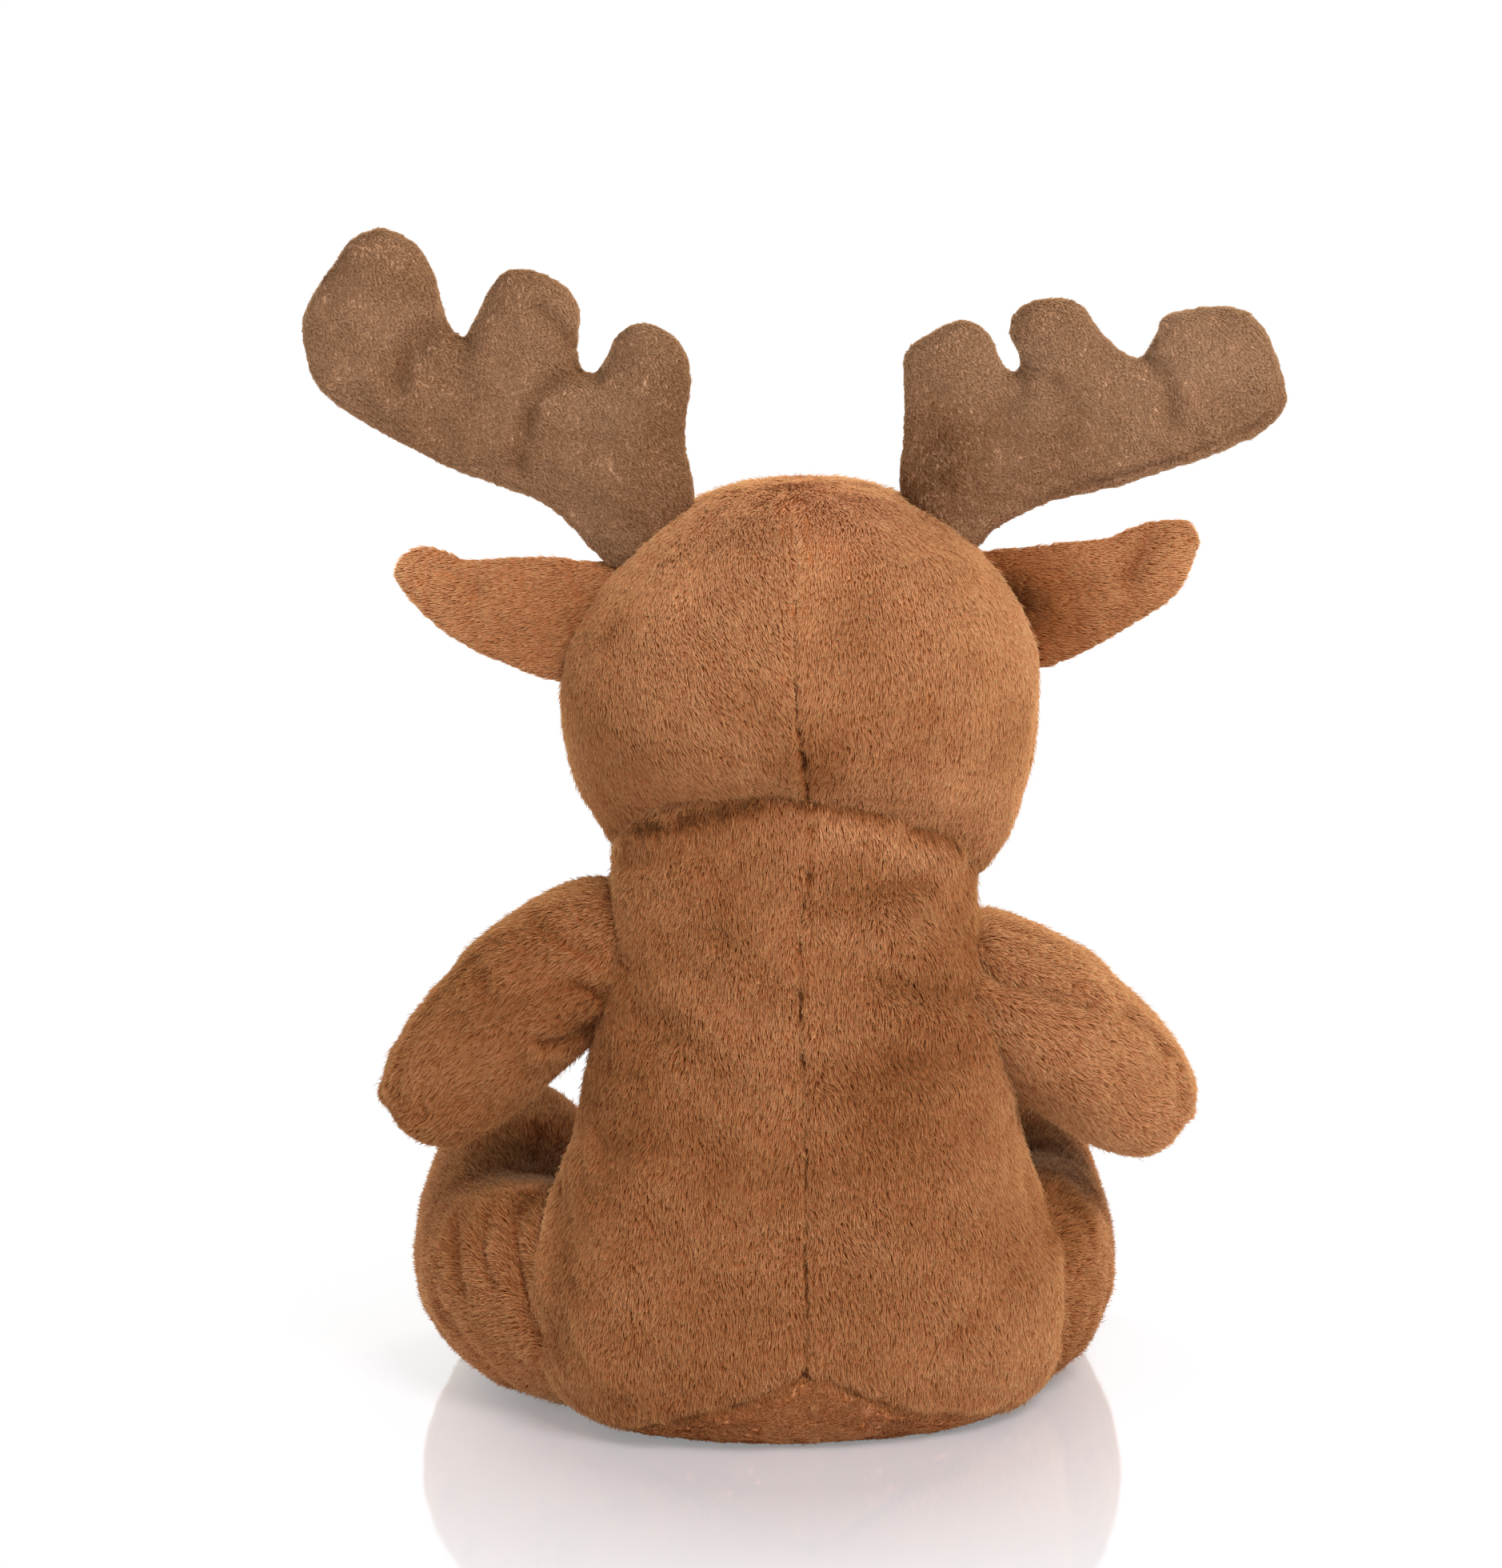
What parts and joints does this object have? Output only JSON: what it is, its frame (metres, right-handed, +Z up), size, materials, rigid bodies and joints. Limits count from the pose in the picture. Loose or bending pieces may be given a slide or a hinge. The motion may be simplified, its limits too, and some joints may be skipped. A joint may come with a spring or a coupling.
{
  "type": "plush deer",
  "caption": "Sitting stuffed deer of brown plush with branched velour antlers, drooping ears, safety eyes and a flat weighted seat",
  "frame": {"origin": "centre of the flat seat that it sits on", "axes": "+Z up through the head, the deer faces -Y, its left side is +X"},
  "size_m": [0.2502, 0.1548, 0.3019],
  "materials": {
    "brown_plush": "short-pile plush",
    "pale_plush": "short-pile plush",
    "taupe_velour": "short velour",
    "seat_plush": "short-pile plush, pile lying the other way",
    "stuffing": "polyester fibre filling",
    "pouch_cloth": "plain woven",
    "black_plastic": "glossy",
    "washer_plastic": "satin",
    "nose_plastic": "satin"
  },
  "bodies": {
    "torso": {"back_panel_left": "brown_plush", "back_panel_right": "brown_plush", "belly_panel": "brown_plush", "seat_gusset": "seat_plush", "pellet_pouch": "pouch_cloth", "torso_stuffing": "stuffing"},
    "head": {"head_back_left": "brown_plush", "head_back_right": "brown_plush", "face_panel_left": "brown_plush", "face_panel_right": "brown_plush", "head_stuffing": "stuffing", "muzzle_upper": "pale_plush", "muzzle_chin": "pale_plush", "muzzle_stuffing": "stuffing", "eye_left": "black_plastic", "eye_right": "black_plastic", "eye_left_washer": "washer_plastic", "eye_right_washer": "washer_plastic", "nose": "nose_plastic", "nose_washer": "washer_plastic"},
    "arm_left": {"arm_left_front": "brown_plush", "arm_left_back": "brown_plush", "arm_left_stuffing": "stuffing"},
    "leg_left": {"leg_left_upper": "brown_plush", "leg_left_lower": "brown_plush", "leg_left_sole": "taupe_velour", "leg_left_stuffing": "stuffing"},
    "antler_left": {"antler_left_front": "taupe_velour", "antler_left_back": "taupe_velour", "antler_left_stuffing": "stuffing"},
    "ear_left": {"ear_left_back": "brown_plush", "ear_left_lining": "taupe_velour"},
    "arm_right": {"arm_right_front": "brown_plush", "arm_right_back": "brown_plush", "arm_right_stuffing": "stuffing"},
    "leg_right": {"leg_right_upper": "brown_plush", "leg_right_lower": "brown_plush", "leg_right_sole": "taupe_velour", "leg_right_stuffing": "stuffing"},
    "antler_right": {"antler_right_front": "taupe_velour", "antler_right_back": "taupe_velour", "antler_right_stuffing": "stuffing"},
    "ear_right": {"ear_right_back": "brown_plush", "ear_right_lining": "taupe_velour"}
  },
  "joints": [
    {"name": "neck_turn", "type": "hinge", "parent": "torso", "child": "head", "pos_m": [0, -0.00014, 0.14832], "axis": [0, -0.4067, 0.9135], "range_deg": [-35, 35], "stiffness_Nm_per_rad": 0.4},
    {"name": "shoulder_left_swing", "type": "hinge", "parent": "torso", "child": "arm_left", "pos_m": [0.04691, 0, 0.122], "axis": [-0.9816, 0, -0.1908], "range_deg": [-40, 60], "stiffness_Nm_per_rad": 0.08},
    {"name": "hip_left_swing", "type": "hinge", "parent": "torso", "child": "leg_left", "pos_m": [0.05143, -0.02323, 0.029], "axis": [-0.7986, 0.6018, 0], "range_deg": [-25, 25], "stiffness_Nm_per_rad": 0.15},
    {"name": "antler_left_bend", "type": "hinge", "parent": "head", "child": "antler_left", "pos_m": [0.03775, 0, 0.22722], "axis": [0.8192, 0, -0.5736], "range_deg": [-15, 15], "stiffness_Nm_per_rad": 0.08},
    {"name": "ear_left_flop", "type": "hinge", "parent": "head", "child": "ear_left", "pos_m": [0.05927, 0, 0.20205], "axis": [0.4226, 0, -0.9063], "range_deg": [-35, 35], "stiffness_Nm_per_rad": 0.012},
    {"name": "shoulder_right_swing", "type": "hinge", "parent": "torso", "child": "arm_right", "pos_m": [-0.04833, 0, 0.115], "axis": [-0.9816, 0, 0.1908], "range_deg": [-40, 60], "stiffness_Nm_per_rad": 0.08},
    {"name": "hip_right_swing", "type": "hinge", "parent": "torso", "child": "leg_right", "pos_m": [-0.05143, -0.02323, 0.029], "axis": [-0.7986, -0.6018, 0], "range_deg": [-25, 25], "stiffness_Nm_per_rad": 0.15},
    {"name": "antler_right_bend", "type": "hinge", "parent": "head", "child": "antler_right", "pos_m": [-0.03943, 0, 0.22871], "axis": [0.6947, 0, 0.7193], "range_deg": [-15, 15], "stiffness_Nm_per_rad": 0.08},
    {"name": "ear_right_flop", "type": "hinge", "parent": "head", "child": "ear_right", "pos_m": [-0.0594, 0, 0.20219], "axis": [0.4695, 0, 0.8829], "range_deg": [-35, 35], "stiffness_Nm_per_rad": 0.012}
  ]
}
